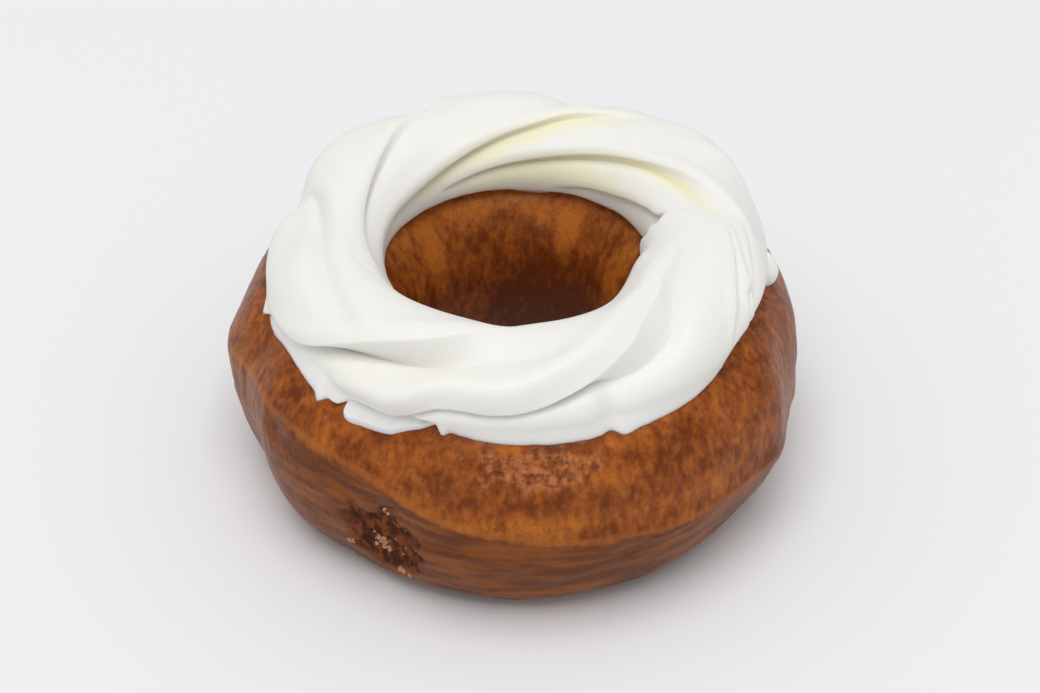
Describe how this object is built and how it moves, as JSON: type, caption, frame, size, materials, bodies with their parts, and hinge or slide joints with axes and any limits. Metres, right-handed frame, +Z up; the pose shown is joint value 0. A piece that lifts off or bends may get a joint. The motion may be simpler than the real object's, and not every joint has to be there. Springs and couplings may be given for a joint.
{
  "type": "ring doughnut with piped cream",
  "caption": "Glazed ring doughnut with a twisted ring of white piped cream on top, resting flat with its hole upright.",
  "frame": {"origin": "centre of the whole part's box, on the plane it rests on", "axes": "+Z up along the hole, -Y towards the side with the torn patch of crust, +X towards the join of the piping"},
  "size_m": [0.0928, 0.0924, 0.049],
  "materials": {
    "crust": "mottled brown fried crust under a thin clear glaze",
    "cream": "smooth satin white piped cream"
  },
  "bodies": {
    "root": {"doughnut": "crust", "cream_ring": "cream"}
  },
  "joints": []
}
